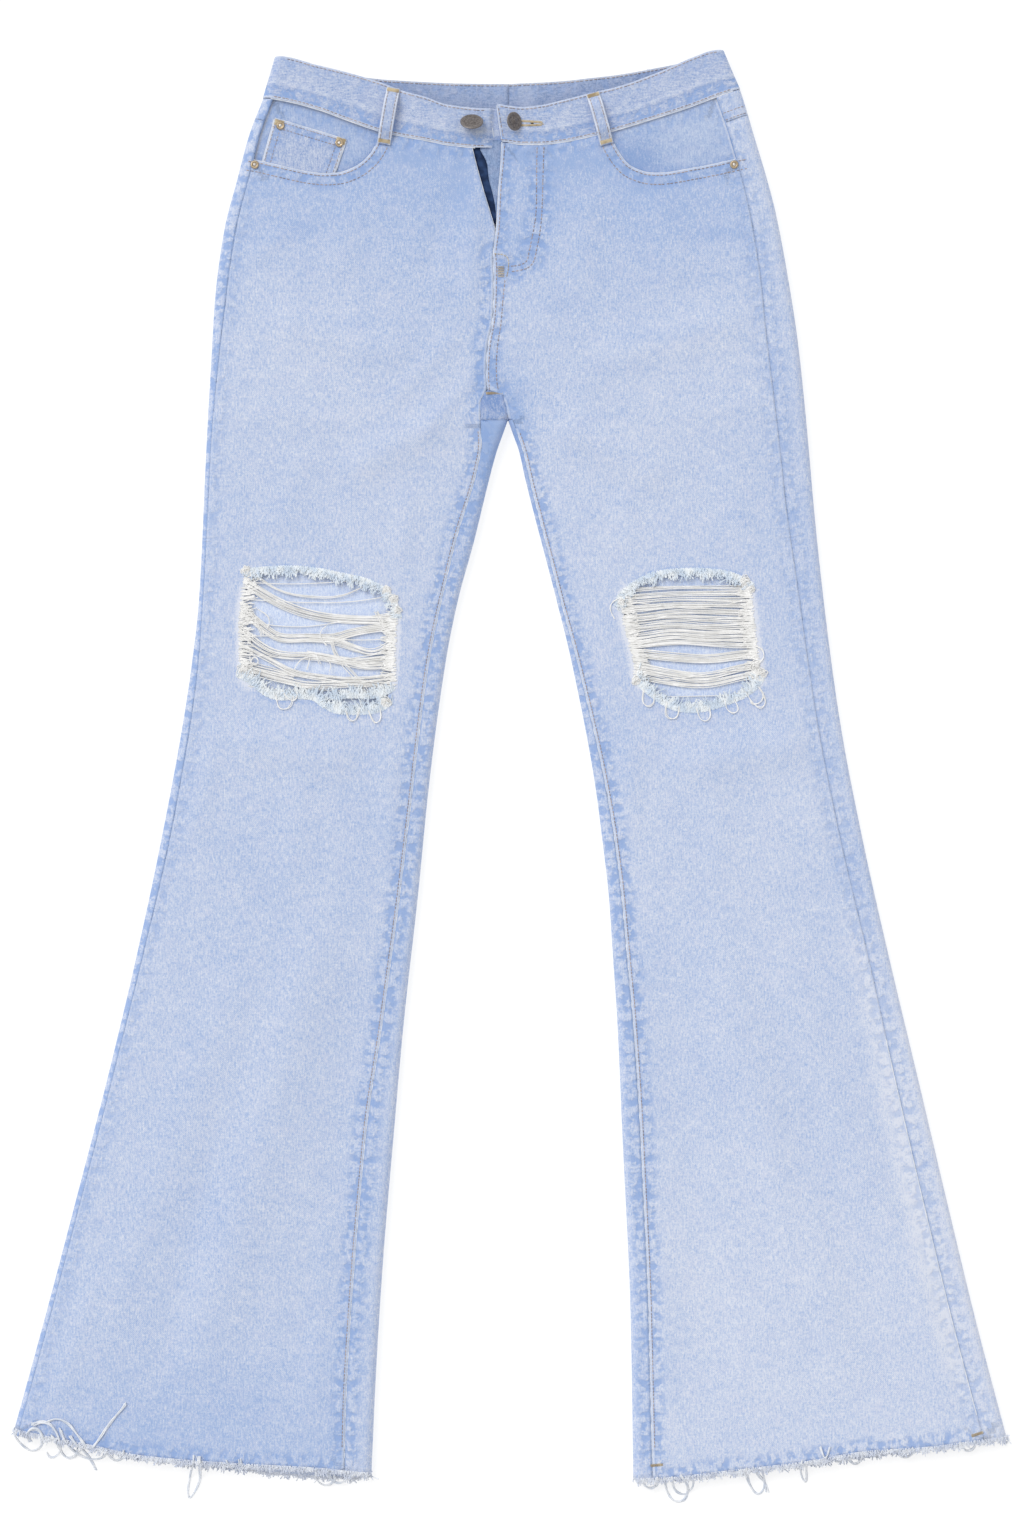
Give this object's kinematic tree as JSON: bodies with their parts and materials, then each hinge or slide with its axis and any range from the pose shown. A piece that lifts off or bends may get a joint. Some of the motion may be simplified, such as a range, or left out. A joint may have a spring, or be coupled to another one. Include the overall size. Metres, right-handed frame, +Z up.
{
  "type": "ripped jeans",
  "caption": "Flared ripped jeans laid flat on their back, front up, with an open waistband, frayed knee rips and raw frayed hems.",
  "frame": {"origin": "middle of the laid-out jeans, on the surface that they lie on", "axes": "+Y from the hems to the waistband, +Z up from the surface, +X towards the wearer's left leg"},
  "size_m": [0.7352, 1.0647, 0.0302],
  "materials": {
    "denim": "soft light-blue bleached cotton twill with pale worn seam edges and a fine slub",
    "weft": "matt off-white frayed cotton yarn",
    "zip_tape": "dark navy woven tape, matt",
    "bronze": "aged dark bronze, softly polished on its high spots"
  },
  "bodies": {
    "root": {"back_panel_right": "denim", "back_panel_left": "denim", "back_yoke_right": "denim", "back_yoke_left": "denim", "back_pocket_right": "denim", "back_pocket_left": "denim", "front_panel_right": "denim", "front_panel_left": "denim", "pocket_facing_right": "denim", "pocket_facing_left": "denim", "coin_pocket": "denim", "fly_shield": "denim", "zip_tape": "zip_tape", "waistband_right": "denim", "waistband_left": "denim", "belt_loop_front_right": "denim", "belt_loop_front_left": "denim", "belt_loop_back_right": "denim", "belt_loop_back_left": "denim", "belt_loop_back_middle": "denim", "hem_fringe_right": "weft", "hem_fringe_left": "weft", "rip_threads_right": "weft", "rip_threads_left": "weft", "button_waist": "bronze", "button_end": "bronze", "rivet_pocket_right": "bronze", "rivet_pocket_left": "bronze", "rivet_coin_outer": "bronze", "rivet_coin_inner": "bronze"}
  },
  "joints": []
}
